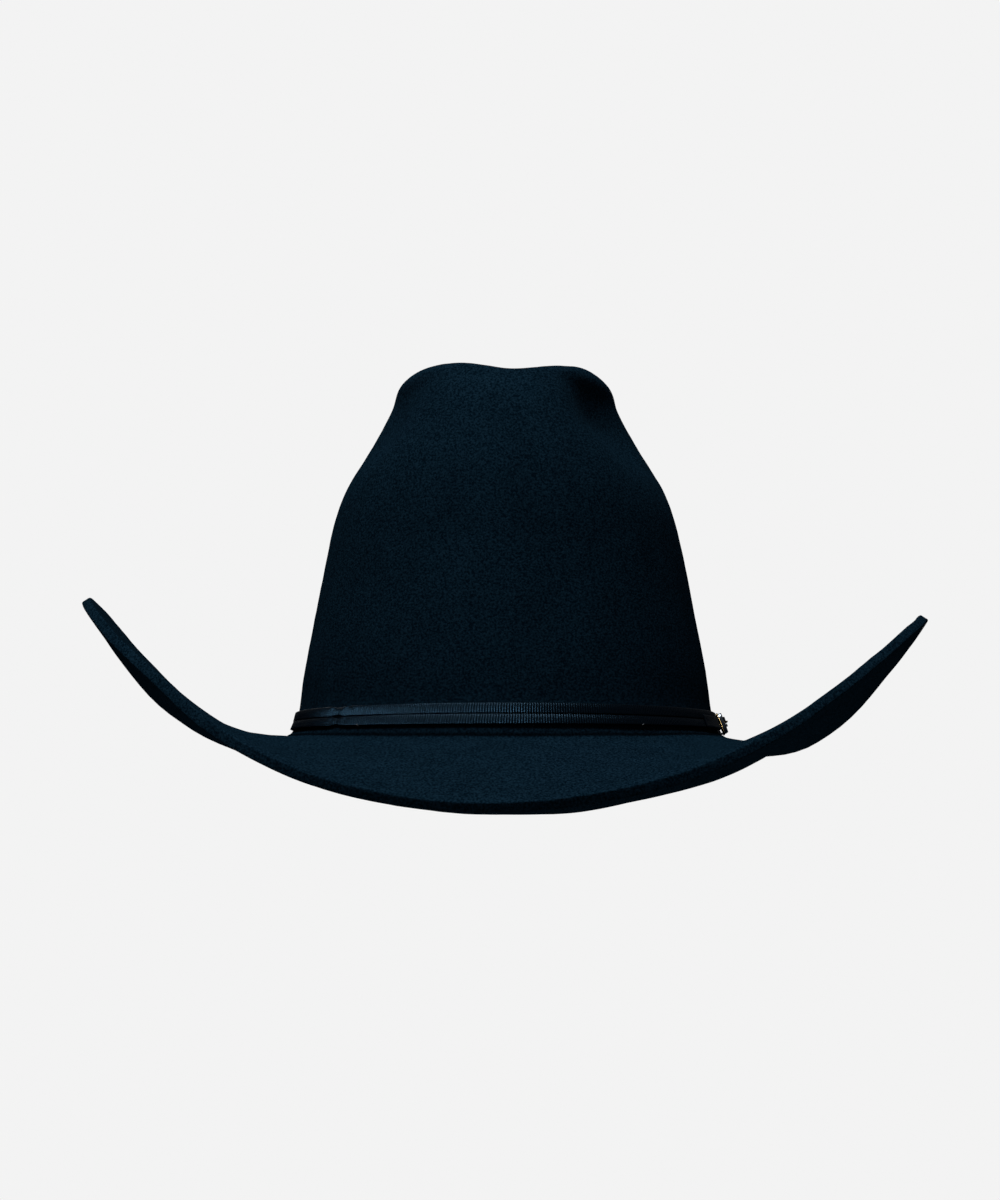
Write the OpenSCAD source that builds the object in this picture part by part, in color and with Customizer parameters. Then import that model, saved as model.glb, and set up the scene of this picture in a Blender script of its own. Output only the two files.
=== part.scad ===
// Western felt hat: cattleman crown, wide brim rolled up at both sides, two-pleat
// ribbon band with a three-piece buckle set, leather sweatband, bow and satin lining.
// The hat stands on the front and back dips of its brim, z = 0. Its front faces -Y.

/* [Head] */
// Width of the crown at the break, outside the felt
head_width = 168; // [160:1:178]
// Length of the crown at the break, outside the felt
head_length = 211; // [202:1:222]
/* [Felt] */
// Thickness of the felt
felt_t = 3.8; // [3:0.1:4.5]
// Height of the crown above the break
crown_height = 149; // [135:1:160]
// Depth of the centre crease
crease_depth = 30; // [20:1:34]
// Half width of the centre crease
crease_half = 12.5; // [11:0.5:15]
// Depth of the two side dents
dent_depth = 13; // [6:1:14]
/* [Brim] */
// Reach of the brim at the sides, measured flat on the table
brim_side = 79; // [70:1:88]
// Reach of the brim at the front and back
brim_front = 91; // [80:1:100]
// Rise of the rolled sides above the break
side_roll = 50; // [35:1:60]
// Fall of the front and back edges below the break
brim_dip = 24; // [16:1:30]
// How far the left tip stands higher than the right one, halved
side_lean = 3.5; // [0:0.5:5]
/* [Hatband] */
// Thickness of one folded ribbon pleat
pleat_t = 0.7; // [0.6:0.1:1.1]
// Height of the free strap that runs through the buckle
strap_h = 5.8; // [5.2:0.1:6.4]
/* [Buckle] */
// Height of the buckle frame
buckle_h = 8.2; // [8:0.1:9]
// Length of the buckle frame from its free side to its bar
buckle_l = 13; // [11:0.5:15]
// Diameter of the bar that the prong turns on
bar_d = 1.2; // [1:0.1:1.4]
// Thickness of the frame
frame_t = 2; // [1.8:0.1:2.6]
/* [Inside] */
// Thickness of the sweatband leather
leather_t = 0.9; // [0.7:0.1:1.2]
// Diameter of the reed in the bottom edge of the sweatband
reed_d = 1.8; // [1.4:0.1:2.2]
// Number of stitches that hold the sweatband
stitches = 72; // [48:4:96]

/* [Hidden] */

// Stations of the brim from its edge in: share of the reach, of the side roll, of the dip.
BRIM = [
    [1.00, 1.000, 1.00],
    [0.92, 0.800, 0.90],
    [0.81, 0.550, 0.77],
    [0.65, 0.260, 0.60],
    [0.45, 0.060, 0.40],
    [0.26, -0.012, 0.21],
    [0.13, -0.022, 0.09],
    [0.056, -0.012, 0.03],
    [0.028, 0.006, -0.035],
];
// Stations of the crown from the break up, for a 168 x 211 x 149 block:
// half width, front length, back length, and the height at the side, front and back.
CROWN = [
    [84, 105.8, 106.8, 2.2, 1.3, 1.3],
    [81.7, 103.2, 104.2, 9.4, 9.5, 9.5],
    [79.6, 101, 102, 25, 24, 25],
    [75.4, 97, 99, 48, 47, 49],
    [71.2, 93, 96, 70, 70, 72],
    [68, 90, 93, 85, 89, 92],
    [64, 86, 89, 98, 104, 108],
    [58.8, 81, 84, 109, 117, 121],
    [53, 75, 77, 120, 128, 132],
    [46.7, 68, 67, 131, 136, 141],
    [42.5, 61, 56, 140, 141.5, 146.5],
    [32, 47, 41, 146, 144, 148],
    [16.5, 26, 23, 148, 145.5, 148.5],
    [0.01, 0.01, 0.01, 148, 146, 148],
];
BLOCK = [168, 211, 149];
BREAK_DROP = 3;                       // the break dips this far at the front and back
kx = head_width / BLOCK.x;
ky = head_length / BLOCK.y;
kz = crown_height / BLOCK.z;
// Every station as [half width, front, back, z side, z front, z back].
RINGS = concat(
    [for (b = BRIM) [
        kx * 84 + brim_side * b[0],
        ky * 105 + brim_front * b[0],
        ky * 106 + (brim_front - 1) * b[0],
        side_roll * b[1],
        -BREAK_DROP - brim_dip * b[2],
        -BREAK_DROP - brim_dip * b[2]]],
    [for (c = CROWN) [kx * c[0], ky * c[1], ky * c[2], kz * c[3], kz * c[4], kz * c[5]]]);
LAST = len(RINGS) - 1;                // the middle of the crown's top
FLAT_V = 8;                           // the roll and lean of the brim end here
BACK_POWER = 1.5;                     // the back of the brim stays low further round
TWIST = [3, 10];                      // sideways lean of the brim, front and back
PUFF = [13, -10];                     // extra lift near the tips, front and back
FRONT_SAG = 1.3;                      // the front corners of the brim hang a little lower
BACK_LIFT = [1.5, 3.4, 3];            // the back corners stand higher: right, left, left tip
FRONT_RISE = [3, 2.5];                // the front corners stand higher: right and left
SWELL = [-2, 1.8];                    // the left roll hangs lower near the crown, higher near its tip
CREASE_X = 3;                         // the crease lies a little to the wearer's left
DENT_Y = -36;
DENT_SIDE = [0.55, 1];                // share of the dent's depth on the right and left
DENT_Z = 120;
DENT_REACH = [30, 18];

// A smooth step from 0 at a to 1 at b.
function step(a, b, x) = let (k = max(0, min(1, (x - a) / (b - a)))) k * k * (3 - 2 * k);
// A bell curve of half width w.
function bell(x, w) = exp(-pow(x / w, 2));
function unit(a) = a / norm(a);
function station(i) = i < 0 ? 2 * RINGS[0] - RINGS[1]
    : i > LAST ? 2 * RINGS[LAST] - RINGS[LAST - 1] : RINGS[i];
// The station numbers at any place v between two stations, on a Catmull-Rom curve.
function ring(v) =
    let (i = min(floor(v), LAST - 1), f = v - i,
         a = station(i - 1), b = station(i), c = station(i + 1), d = station(i + 2))
    0.5 * (2 * b + (c - a) * f + (2 * a - 5 * b + 4 * c - d) * f * f
        + (3 * b - a - 3 * c + d) * f * f * f);
// How much the brim's own lean, twist and puff count: 1 at the edge, 0 at the break.
function brim_share(v) = 1 - step(0, FLAT_V, v);
// The height of the bare oval, before the creases.
function oval_z(s, c, v, r) =
    let (w = brim_share(v), k = c > 0 ? 0 : 1, low = r[4 + k],
         q = pow(s * s, 1 + (k * (BACK_POWER - 1)) * w))
    low + (r[3] - low) * q
        - w * sign(s) * pow(abs(s), 3) * (side_lean + TWIST[k] * c)
        + w * pow(s, 6) * abs(c) * PUFF[k]
        - w * FRONT_SAG * max(0, c) * step(0, 0.35, abs(s)) * bell(abs(s) - 0.5, 0.25)
        + w * max(0, -c) * step(0, 0.35, abs(s))
            * (BACK_LIFT[0] * bell(s + 0.4, 0.3) + BACK_LIFT[1] * bell(s - 0.4, 0.22)
                + BACK_LIFT[2] * bell(s - 0.9, 0.12))
        + w * max(0, c) * (FRONT_RISE[0] * bell(s + 0.74, 0.1) + FRONT_RISE[1] * bell(s - 0.8, 0.2))
        + pow(max(0, s), 4) * (SWELL[0] * bell(v - 4.7, 1.2) + SWELL[1] * bell(v - 2.2, 1));
// The centre crease: deepest in the middle, running out at both ends.
function crease(x, y, v) =
    crease_depth * bell(x - CREASE_X, crease_half) * step(13.5, 18, v)
        * (y < 0 ? 1 - 0.92 * step(20, 66, -y) : 1 - 0.9 * step(15, 62, y));
// The side dents, in the front half of the crown.
function dent(x, y, z, v) =
    dent_depth * DENT_SIDE[x > 0 ? 1 : 0] * bell(y - DENT_Y, DENT_REACH.x)
        * bell(z - DENT_Z * kz, DENT_REACH.y) * step(10.5, 12.5, v)
        * (1 - step(19, 21, v)) * min(1, abs(x) / 20);
// The outside of the hat at plan angle t from the front, station r at place v.
function outside(t, v, r) =
    let (s = sin(t), c = cos(t), x = r[0] * s, y = c > 0 ? -r[1] * c : -r[2] * c,
         z = oval_z(s, c, v, r) - crease(x, y, v))
    [x - sign(s) * dent(x, y, z, v), y, z];

EPS_T = 0.4;
EPS_V = 0.03;
// Points of one section corner [v, offset] at all the angles ts, moved off the felt.
function row(q, ts) =
    let (v = q[0], hi = min(v + EPS_V, LAST), lo = max(v - EPS_V, 0),
         r = ring(v), ra = ring(hi), rb = ring(lo))
    [for (t = ts)
        let (p = outside(t, v, r))
        q[1] == 0 ? p
        : p + q[1] * unit(cross(
            outside(t + EPS_T, v, r) - outside(t - EPS_T, v, r),
            outside(t, hi, ra) - outside(t, lo, rb)))];

SIDES = 64;
// The flats, not the corners, face the front and the back, so the hat stands on two edges.
AROUND = [for (i = [0:SIDES - 1]) (i + 0.5) * 360 / SIDES];
EDGE_LOW = row([0, -felt_t], AROUND);
EDGE_TOP = row([0, 0], AROUND);
function span(k, pts) = let (w = [for (p = pts) p[k]]) [min(w), max(w)];
LOW_X = span(0, concat(EDGE_LOW, EDGE_TOP));
LOW_Y = span(1, concat(EDGE_LOW, EDGE_TOP));
// Moves the middle of the brim to x = 0, y = 0 and its lowest points to z = 0.
HOME = [-(LOW_X[0] + LOW_X[1]) / 2, -(LOW_Y[0] + LOW_Y[1]) / 2, -span(2, EDGE_LOW)[0]];

// Two triangles between rows a and b of n points; the last column joins the first if round.
function band_faces(a, b, n, round_) =
    [for (i = [0:n - (round_ ? 1 : 2)], k = [0, 1])
        let (j = (i + 1) % n)
        k == 0 ? [a * n + i, b * n + i, b * n + j] : [a * n + i, b * n + j, a * n + j]];

// A ring that follows the crown, with the closed section [[v, offset], ...].
module follow(section, ts = AROUND, round_ = true) {
    n = len(ts);
    m = len(section);
    pts = [for (q = section) each row(q, ts)];
    sides = [for (k = [0:m - 1]) each band_faces(k, (k + 1) % m, n, round_)];
    ends = round_ ? []
        : [[for (k = [m - 1:-1:0]) k * n], [for (k = [0:m - 1]) k * n + n - 1]];
    translate(HOME) polyhedron(pts, concat(sides, ends), 4);
}

// A ring between the places vs, from the outer offset to the inner one.
module slab(vs, outer, inner, ts = AROUND, round_ = true) {
    follow(concat([for (v = vs) [v, outer]],
                  [for (k = [len(vs) - 1:-1:0]) [vs[k], inner]]), ts, round_);
}

// A ring with a round section of diameter d, k sides, at place v and offset o.
module hoop(v, o, d, k, ts = AROUND, round_ = true) {
    n = len(ts);
    mid = row([v, o], ts);
    far = row([v, o + 1], ts);
    pts = [for (a = [0:k - 1], i = [0:n - 1])
        let (out = unit([far[i].x - mid[i].x, far[i].y - mid[i].y, 0]))
        mid[i] + d / 2 * (cos(a * 360 / k) * out + [0, 0, sin(a * 360 / k)])];
    sides = [for (a = [0:k - 1]) each band_faces(a, (a + 1) % k, n, round_)];
    ends = round_ ? []
        : [[for (a = [k - 1:-1:0]) a * n], [for (a = [0:k - 1]) a * n + n - 1]];
    translate(HOME) polyhedron(pts, concat(sides, ends), 4);
}

// A shell from the rows of places vs up to the middle of the top, from offset o1 to o2.
module dome(vs, o1, o2) {
    n = SIDES;
    m = len(vs);
    top = row([LAST, 0], [90])[0];
    outer = [for (v = vs) each row([v, o1], AROUND)];
    inner = [for (v = vs) each row([v, o2], AROUND)];
    tips = [top + [0, 0, o1], top + [0, 0, o2]];
    pts = concat(outer, inner, tips);
    wall = [for (k = [0:m - 2]) each band_faces(k, k + 1, n, true)];
    back = [for (k = [0:m - 2]) each band_faces(m + k + 1, m + k, n, true)];
    rim = band_faces(m, 0, n, true);
    caps = [for (i = [0:n - 1])
        let (j = (i + 1) % n, a = (m - 1) * n, b = (2 * m - 1) * n)
        each [[a + i, 2 * m * n, a + j], [b + j, 2 * m * n + 1, b + i]]];
    translate(HOME) polyhedron(pts, concat(wall, back, rim, caps), 4);
}

// Puts children on the crown wall: x' straight out, y' along the band, z' up the wall.
module on_wall(t, v) {
    p = row([v, 0], [t])[0];
    n = row([v, 1], [t])[0] - p;
    along = row([v, 0], [t + EPS_T])[0] - row([v, 0], [t - EPS_T])[0];
    y = unit(along - (along * n) * n);
    z = cross(n, y);
    q = p + HOME;
    multmatrix([
        [n.x, y.x, z.x, q.x],
        [n.y, y.y, z.y, q.y],
        [n.z, y.z, z.z, q.z],
        [0, 0, 0, 1]]) children();
}

// Places of the hatband on the crown wall.
BAND_LOW = 9;
BAND_MID = 9.58;
BAND_TOP = 10;
STRAP_LOW = 9;
STRAP_TOP = 9.76;
STRAP_MID = 9.38;
BACKING = [0.1, 0.42];
PLEAT_IN = 0.5;
PLEAT_OUT = PLEAT_IN + pleat_t;
STRAP_T = 0.45;
BUCKLE_T = 87.5;                      // the buckle sits just ahead of the left side
KEEPER_T = 96;
TIP_T = 101.5;
FRAME_IN = 1.95;
BAR_O = 2.9;
EYE_D = bar_d + 1.1;
PIN_CLEAR = 0.05;
FRAME_LEG = (buckle_h - 6.2) / 2;     // width of the frame's two legs
BAR_Y = buckle_l / 2;                 // the bar lies behind the middle of the frame
TIP_H = strap_h + 1.3;
PRONG_D = 1.1;
PRONG_GAP = 0.3;
PRONG_REACH = buckle_l - 0.9;
PRONG_TILT = atan((FRAME_IN + frame_t + PRONG_D / 2 + PRONG_GAP - BAR_O) / (buckle_l - 2));

// Places of the inner pieces, as offsets from the outside of the felt.
LINING = [-felt_t - 0.2, -felt_t - 0.45];
SWEAT_OUT = -felt_t - 0.6;
SWEAT_IN = SWEAT_OUT - leather_t;
SWEAT_ROWS = [9.1, 9.55, 10.2, 11.2, 12.35];
REED_V = 8.85;
REED_O = -felt_t - 1.8;
LINING_SEAM = 14.6;

BLACK = "#0d1318";
GREY = "#1d2630";
STEEL = "#c9ccd0";
TAN = "#8a5a34";
SATIN = "#3a3f4c";

TOP_ROWS = [for (v = [15.1:0.5:21.6]) v];
FELT_ROWS = concat(
    [for (v = [0:0.7:5.6]) v],
    [6.2, 6.8, 7.3, 7.7, 8.1, 8.5, 9, 9.5, 10, 10.6, 11.4, 12.2, 13, 13.6, 14.1, 14.6],
    TOP_ROWS);

module felt_body() {
    color(BLACK) dome(FELT_ROWS, 0, -felt_t);
}

module hatband_backing() {
    color(BLACK)
        slab([BAND_LOW + 0.08, 9.3, BAND_MID, 9.79, BAND_TOP - 0.04], BACKING[1], BACKING[0]);
}

// One ribbon pleat between two places, its long edges rounded.
module pleat(low, top, out) {
    side = (PLEAT_IN + out) / 2;
    mid = (low + top) / 2;
    follow([[low, side], [low + 0.04, out], [mid, out], [top - 0.04, out],
            [top, side], [top - 0.04, PLEAT_IN], [mid, PLEAT_IN], [low + 0.04, PLEAT_IN]]);
}

module hatband_lower_pleat() {
    color(GREY) pleat(BAND_LOW, BAND_MID - 0.02, PLEAT_OUT);
}

module hatband_upper_pleat() {
    color(GREY) pleat(BAND_MID + 0.02, BAND_TOP, PLEAT_OUT + 0.1);
}

// Four short stitches that tack the band to the felt.
module hatband_tacks() {
    color(BLACK)
        for (t = [38, 142, 218, 322])
            on_wall(t, BAND_LOW - 0.05)
                translate([0.38, 0, -0.8])
                    cylinder(h = 1.1, d = 0.6, $fn = 16);
}

// Height of the strap's inner face off the felt along the band: [angle, offset].
STRAP_RISE = [[66, 1.4], [85.3, 1.4], [87.4, 2.9], [90, 4.4], [91.6, 4.4], [93.2, 3],
              [94, 2.75], [106, 2.75]];
function rise(t) = lookup(t, STRAP_RISE);

// A strip of ribbon on the wall; its inner face lies at one height, or rises as the strap does.
module strip(low, top, ts, inner, thick) {
    n = len(ts);
    corners = [for (q = [[low, thick], [top, thick], [top, 0], [low, 0]])
        [for (t = ts) row([q[0], (inner == 0 ? rise(t) : inner) + q[1]], [t])[0]]];
    pts = [for (c = corners) each c];
    sides = [for (k = [0:3]) each band_faces(k, (k + 1) % 4, n, false)];
    ends = [[3 * n, 2 * n, n, 0], [n - 1, 2 * n - 1, 3 * n - 1, 4 * n - 1]];
    translate(HOME) polyhedron(pts, concat(sides, ends), 4);
}

module strap() {
    color(GREY) difference() {
        strip(STRAP_LOW, STRAP_TOP, [for (t = [66:1:104]) t], 0, STRAP_T);
        on_wall(BUCKLE_T, STRAP_MID)
            translate([1, -3.6, -0.85]) cube([6, 11.6, 1.7]);
    }
}

module strap_anchor() {
    color(GREY) {
        strip(STRAP_LOW, STRAP_TOP, [for (t = [92:1:99]) t], 2.15, STRAP_T);
        on_wall(BUCKLE_T, STRAP_MID)
            for (z = [-2.9, 1])
                translate([BAR_O, BAR_Y, z])
                    difference() {
                        cylinder(h = 1.9, d = bar_d + 0.9, $fn = 32);
                        translate([0, 0, -1])
                            cylinder(h = 5, d = bar_d + 2 * PIN_CLEAR, $fn = 32);
                    }
    }
}

module strap_tip() {
    color(STEEL) on_wall(TIP_T, STRAP_MID)
        difference() {
            translate([2.3, -3, -TIP_H / 2]) union() {
                cube([1.6, 6, TIP_H]);
                translate([0, 6, TIP_H / 2])
                    rotate([0, 90, 0]) cylinder(h = 1.6, d = TIP_H, $fn = 48);
            }
            translate([2.6, -4, -TIP_H / 2 + 0.35]) cube([0.85, 9.6, TIP_H - 0.7]);
        }
}

module buckle_frame() {
    color(STEEL) on_wall(BUCKLE_T, STRAP_MID)
        difference() {
            union() {
                translate([FRAME_IN, -BAR_Y, -buckle_h / 2 + 2])
                    cube([frame_t, buckle_l + 1, buckle_h - 4]);
                translate([FRAME_IN, -BAR_Y + 2, -buckle_h / 2])
                    cube([frame_t, buckle_l - 1, buckle_h]);
                for (z = [-1, 1])
                    translate([FRAME_IN, -BAR_Y + 2, z * (buckle_h / 2 - 2)])
                        rotate([0, 90, 0]) cylinder(h = frame_t, r = 2, $fn = 32);
            }
            translate([FRAME_IN - 1, -BAR_Y + 2, -buckle_h / 2 + FRAME_LEG])
                cube([frame_t + 2, buckle_l + 3, buckle_h - 2 * FRAME_LEG]);
            translate([BAR_O, BAR_Y, -buckle_h])
                cylinder(h = 2 * buckle_h, d = bar_d, $fn = 32);
        }
}

module buckle_bar() {
    color(STEEL) on_wall(BUCKLE_T, STRAP_MID)
        translate([BAR_O, BAR_Y, -buckle_h / 2 + 0.2])
            cylinder(h = buckle_h - 0.4, d = bar_d, $fn = 32);
}

module buckle_prong() {
    color(STEEL) on_wall(BUCKLE_T, STRAP_MID)
        translate([BAR_O, BAR_Y, 0])
            difference() {
                union() {
                    translate([0, 0, -0.75]) cylinder(h = 1.5, d = EYE_D, $fn = 32);
                    rotate([0, 0, PRONG_TILT]) rotate([90, 0, 0])
                        cylinder(h = PRONG_REACH, d = PRONG_D, $fn = 24);
                    rotate([0, 0, PRONG_TILT]) translate([0, -PRONG_REACH, 0])
                        sphere(d = PRONG_D, $fn = 24);
                }
                translate([0, 0, -2])
                    cylinder(h = 4, d = bar_d + 2 * PIN_CLEAR, $fn = 32);
            }
}

module keeper_loop() {
    color(STEEL) on_wall(KEEPER_T, STRAP_MID)
        difference() {
            translate([1.7, -1.6, -strap_h / 2 - 1.2]) cube([2.35, 3.2, strap_h + 2.4]);
            translate([2, -3, -strap_h / 2 - 0.4]) cube([1.4, 6, strap_h + 0.8]);
        }
}

module sweatband() {
    color(TAN) slab(SWEAT_ROWS, SWEAT_OUT, SWEAT_IN);
}

module sweatband_reed() {
    color(STEEL) hoop(REED_V, REED_O, reed_d, 6);
}

// The tape that holds the reed and is sewn to the felt, just outside the reed.
module reed_tape() {
    color(BLACK)
        slab([REED_V - 0.2, REED_V + 0.05, SWEAT_ROWS[1] - 0.1],
            -felt_t - 0.15, -felt_t - 0.45);
}

module sweatband_stitches() {
    color(BLACK)
        for (k = [0:stitches - 1])
            hoop(SWEAT_ROWS[0] + 0.2, SWEAT_IN - 0.32, 0.5, 4,
                [k * 360 / stitches, (k + 0.55) * 360 / stitches], false);
}

// The tape over the seam where the two ends of the sweatband meet.
module sweatband_back_tape() {
    color(BLACK)
        slab([10.2, 11.2, 12.3], SWEAT_IN - 0.2, SWEAT_IN - 0.45,
            [177.8, 180, 182.2], false);
}

BOW_V = 10.2;
BOW_O = SWEAT_IN - 0.5;
BOW_H = 4.4;

module bow_loops() {
    color(BLACK) on_wall(180, BOW_V)
        for (s = [-1, 1])
            translate([BOW_O - 1.6, s * 6.6, -BOW_H / 2]) linear_extrude(height = BOW_H)
                difference() {
                    hull() {
                        circle(r = 1.5, $fn = 24);
                        translate([0, -s * 4.4]) circle(r = 0.45, $fn = 24);
                    }
                    hull() {
                        circle(r = 1.15, $fn = 24);
                        translate([0, -s * 4]) circle(r = 0.1, $fn = 24);
                    }
                }
}

module bow_knot() {
    color(BLACK) on_wall(180, BOW_V)
        translate([BOW_O - 2.9, -1.6, -BOW_H / 2 - 0.2])
            linear_extrude(height = BOW_H + 0.4)
                translate([0.7, 0.7]) union() {
                    for (x = [0, 1.2], y = [0, 1.8]) translate([x, y]) circle(r = 0.7, $fn = 24);
                    translate([-0.7, 0]) square([2.6, 1.8]);
                    translate([0, -0.7]) square([1.2, 3.2]);
                }
}

module bow_tails() {
    color(BLACK) on_wall(180, BOW_V)
        for (s = [-1, 1])
            translate([BOW_O - 0.5, 0, -BOW_H / 2 - 0.6])
                rotate([s * 24, 0, 0])
                    translate([0, -1.6, -8]) cube([0.35, 3.2, 7.4]);
}

module lining_side() {
    color(SATIN)
        slab([11.4, 12.2, 13, 13.6, 14.1, LINING_SEAM - 0.05], LINING[0], LINING[1]);
}

module lining_tip() {
    color(SATIN)
        dome(concat([LINING_SEAM + 0.05], TOP_ROWS), LINING[0] - 0.7, LINING[1] - 0.7);
}

module lining_piping() {
    color(SATIN) hoop(LINING_SEAM, LINING[1] - 0.6, 0.9, 6);
}

felt_body();
hatband_backing();
hatband_lower_pleat();
hatband_upper_pleat();
hatband_tacks();
strap();
strap_anchor();
strap_tip();
buckle_frame();
buckle_bar();
buckle_prong();
keeper_loop();
sweatband();
sweatband_reed();
reed_tape();
sweatband_stitches();
sweatband_back_tape();
bow_loops();
bow_knot();
bow_tails();
lining_side();
lining_tip();
lining_piping();
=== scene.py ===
"""Black western hat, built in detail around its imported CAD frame. Metres; +Z up, front to -Y."""
import math

import bpy
import numpy as np
from mathutils import Matrix, Vector


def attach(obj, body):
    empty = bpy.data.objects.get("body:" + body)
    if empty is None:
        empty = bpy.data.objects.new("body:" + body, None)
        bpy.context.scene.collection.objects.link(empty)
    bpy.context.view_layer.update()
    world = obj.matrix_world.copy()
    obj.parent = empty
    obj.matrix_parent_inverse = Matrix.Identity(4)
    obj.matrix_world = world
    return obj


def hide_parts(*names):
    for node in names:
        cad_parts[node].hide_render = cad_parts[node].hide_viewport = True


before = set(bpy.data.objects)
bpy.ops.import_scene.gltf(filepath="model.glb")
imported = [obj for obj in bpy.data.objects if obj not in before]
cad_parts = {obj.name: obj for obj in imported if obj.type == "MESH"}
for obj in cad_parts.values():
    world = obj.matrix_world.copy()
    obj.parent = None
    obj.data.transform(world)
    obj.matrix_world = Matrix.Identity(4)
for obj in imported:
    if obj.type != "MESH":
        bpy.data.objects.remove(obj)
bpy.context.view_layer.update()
scene = bpy.context.scene
MM = 0.001

# ---------------------------------------------------------------- camera, light and stage

CAM_AT = Vector((0.0283, -1.0796, -0.0014))
CAM_UP_DEG = 4.595
CAM_YAW_DEG = 1.617
CAM_LENS = 81.4

cam_data = bpy.data.cameras.new("camera")
cam_data.lens = CAM_LENS
cam_data.sensor_width = 36.0
cam_data.clip_start, cam_data.clip_end = 0.05, 50.0
camera = bpy.data.objects.new("camera", cam_data)
camera.location = CAM_AT
camera.rotation_euler = (math.radians(90 + CAM_UP_DEG), 0, math.radians(CAM_YAW_DEG))
scene.collection.objects.link(camera)
scene.camera = camera
scene.view_settings.view_transform = "Standard"

BACKDROP = 0.896       # linear value of the pale backdrop
AMBIENT = 0.08         # the room's light on the hat
FLOOR_Z, FLOOR_R, FLOOR_SIDES = -0.62, 1.9, 96


def area_light(name, at, aim, size, watts, color=(1, 1, 1)):
    data = bpy.data.lights.new(name, "AREA")
    data.shape = "RECTANGLE"
    data.size, data.size_y = size
    data.energy = watts
    data.color = color
    lamp = bpy.data.objects.new(name, data)
    lamp.location = at
    lamp.rotation_euler = (Vector(aim) - Vector(at)).to_track_quat("-Z", "Y").to_euler()
    scene.collection.objects.link(lamp)
    return lamp


area_light("key", (-.3, -.8, 2.3), (0, 0, 0.08), (0.9, 0.9), 68, (0.95, 0.98, 1.0))
sheen = area_light("sheen", (-1.5, -1.28, .55), (0, 0, 0.06), (.3, .3), 75, (0.93, 0.97, 1.0))
sheen.visible_diffuse = False    # only glosses the ribbon, the satin, the leather and the metal
area_light("fill", (1.6, -1.2, 0.5), (0, 0, 0.06), (1.0, 1.0), .6, (0.9, 0.96, 1.0))
under = area_light("under", (0, 0, -.55), (0, 0, 0), (1.5, 1.5), 1.7, (1, .97, .95))
under.visible_camera = under.visible_glossy = False    # stands in for the floor's bounce
area_light("rim", (-0.4, 1.6, 1.4), (0, 0, 0.1), (1.2, 0.6), 8, (0.95, 0.98, 1.0))

world = bpy.data.worlds.new("studio")
world.use_nodes = True
tree = world.node_tree
pale, dim = tree.nodes["Background"], tree.nodes.new("ShaderNodeBackground")
pale.inputs["Color"].default_value = dim.inputs["Color"].default_value = (1, 1, 1, 1)
pale.inputs["Strength"].default_value = BACKDROP
dim.inputs["Strength"].default_value = AMBIENT
kind, mix = tree.nodes.new("ShaderNodeLightPath"), tree.nodes.new("ShaderNodeMixShader")
tree.links.new(kind.outputs["Is Camera Ray"], mix.inputs[0])
tree.links.new(dim.outputs[0], mix.inputs[1])
tree.links.new(pale.outputs[0], mix.inputs[2])
tree.links.new(mix.outputs[0], tree.nodes["World Output"].inputs["Surface"])
scene.world = world

# ---------------------------------------------------------------- the surface of the hat

HEAD = (84.0, 105.0, 106.0)     # half width, front and back of the crown at the break
REACH = (79.0, 91.0, 90.0)      # reach of the brim at the side, front and back
ROLL, DIP, DROP = 50.0, 24.0, 3.0  # rise of the brim's sides, fall of its front and back
BACK_LIFT = (1.5, 3.4, 3)       # rises of the brim behind the crown, right to left
FRONT_RISE = (3, 2.5)           # rises of the brim before the crown, right and left
SWELL = (-2, 1.8)               # hollow and swell in the left side's roll
CREASE = 30                     # depth of the crease along the top
DENT = 13                       # depth of the pinches in front
BRIM = [(1, 1, 1), (.92, .8, .9), (.81, .55, .77), (.65, .26, .6), (.45, .06, .4),
        (.26, -.012, .21), (.13, -.022, .09), (.056, -.012, .03), (.028, .006, -.035)]
CROWN = [(84, 105.8, 106.8, 2.2, 1.3, 1.3), (81.7, 103.2, 104.2, 9.4, 9.5, 9.5),
         (79.6, 101, 102, 25, 24, 25), (75.4, 97, 99, 48, 47, 49),
         (71.2, 93, 96, 70, 70, 72), (68, 90, 93, 85, 89, 92), (64, 86, 89, 98, 104, 108),
         (58.8, 81, 84, 109, 117, 121), (53, 75, 77, 120, 128, 132),
         (46.7, 68, 67, 131, 136, 141), (42.5, 61, 56, 140, 141.5, 146.5),
         (32, 47, 41, 146, 144, 148), (16.5, 26, 23, 148, 145.5, 148.5),
         (.01, .01, .01, 148, 146, 148)]
RINGS = np.array([(HEAD[0] + REACH[0] * a, HEAD[1] + REACH[1] * a, HEAD[2] + REACH[2] * a,
                   ROLL * b, -DROP - DIP * c, -DROP - DIP * c) for a, b, c in BRIM] + CROWN, float)
LAST = len(RINGS) - 1
FELT = 3.8
EPS_T, EPS_V = 0.4, 0.03


def step(a, b, x):
    k = np.clip((x - a) / (b - a), 0, 1)
    return k * k * (3 - 2 * k)


def bell(x, w):
    return np.exp(-(x / w) ** 2)


def station(i):
    return np.where((i < 0)[..., None], 2 * RINGS[0] - RINGS[1],
                    np.where((i > LAST)[..., None], 2 * RINGS[LAST] - RINGS[LAST - 1],
                             RINGS[np.clip(i, 0, LAST)]))


def ring(v):
    """The station numbers at any place v, on a Catmull-Rom curve."""
    i = np.minimum(np.floor(v), LAST - 1).astype(int)
    f = (v - i)[..., None]
    a, b, c, d = (station(i + k) for k in (-1, 0, 1, 2))
    return 0.5 * (2 * b + (c - a) * f + (2 * a - 5 * b + 4 * c - d) * f ** 2
                  + (3 * b - a - 3 * c + d) * f ** 3)


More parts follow.
